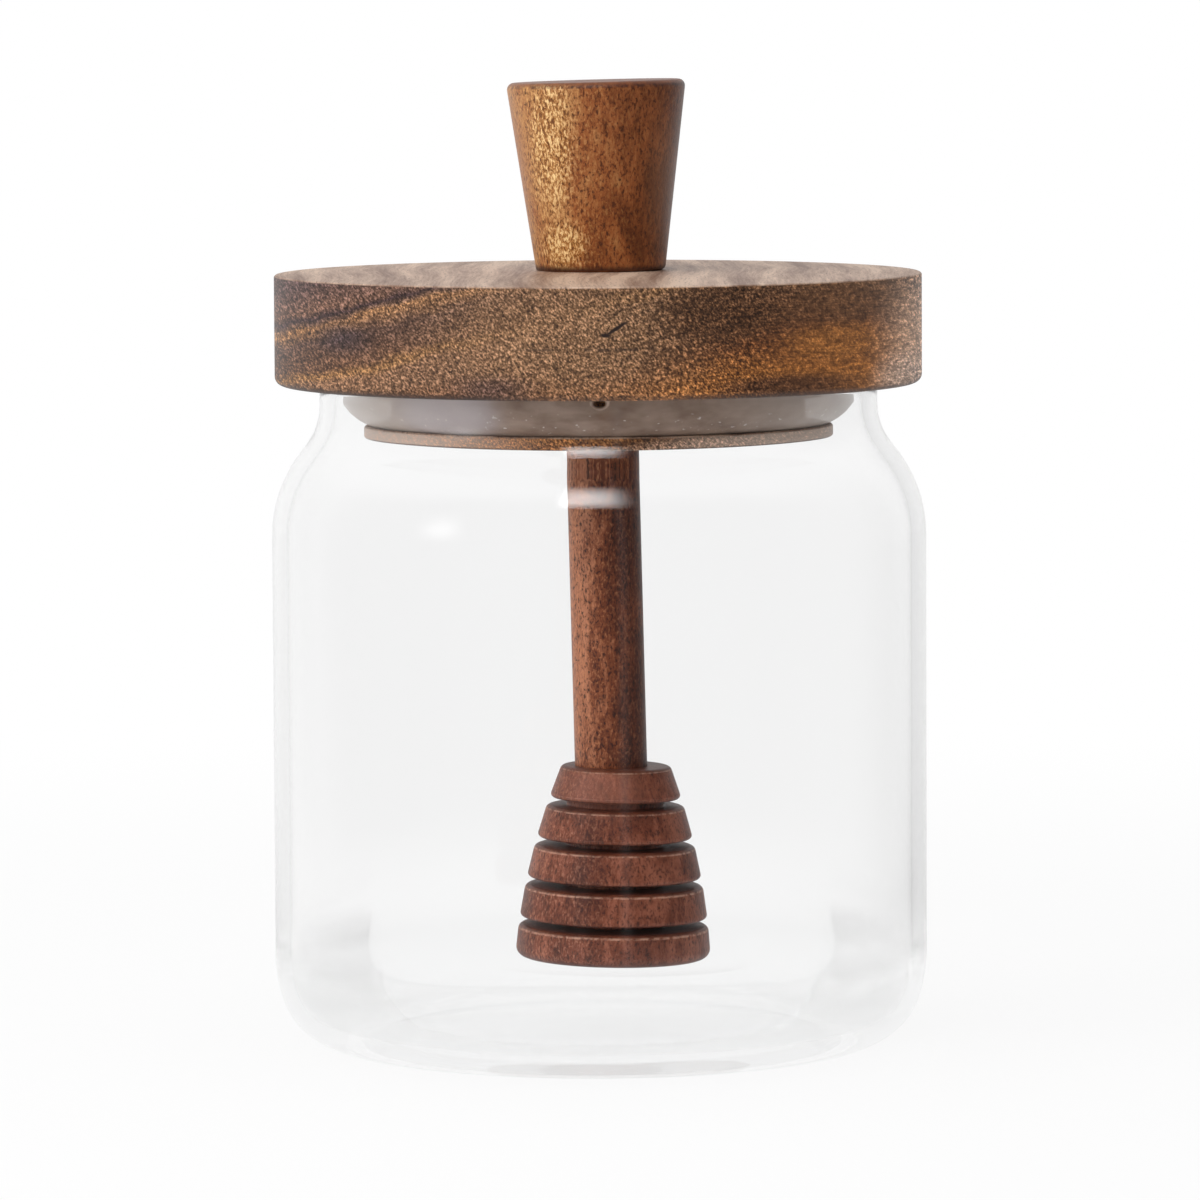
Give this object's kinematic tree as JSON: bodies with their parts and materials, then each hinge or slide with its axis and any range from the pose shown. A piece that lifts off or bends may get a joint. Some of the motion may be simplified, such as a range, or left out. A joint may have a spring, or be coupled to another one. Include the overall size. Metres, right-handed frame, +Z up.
{
  "type": "honey jar with dipper",
  "caption": "Clear glass honey jar with a thick wooden lid, a tapered wooden knob, a silicone seal and a wooden honey dipper that hangs from the lid inside the jar.",
  "frame": {"origin": "middle of the jar's foot, on the surface it stands on", "axes": "+Z up along the jar's axis; the dipper leans and is offset only within the XZ plane, its head towards +X"},
  "size_m": [0.0856, 0.0856, 0.1261],
  "materials": {
    "glass": "clear, colourless, polished",
    "lid_wood": "dark brown acacia with pale and dark pores, oiled",
    "seal_silicone": "translucent grey silicone",
    "knob_wood": "orange-brown acacia, grain along the knob, oiled",
    "stick_wood": "orange-brown acacia, grain along the stick",
    "head_wood": "reddish dark brown acacia, turned grooves"
  },
  "bodies": {
    "root": {"jar": "glass", "lid": "lid_wood", "seal": "seal_silicone", "knob": "knob_wood", "dipper_stick": "stick_wood", "dipper_head": "head_wood"}
  },
  "joints": []
}
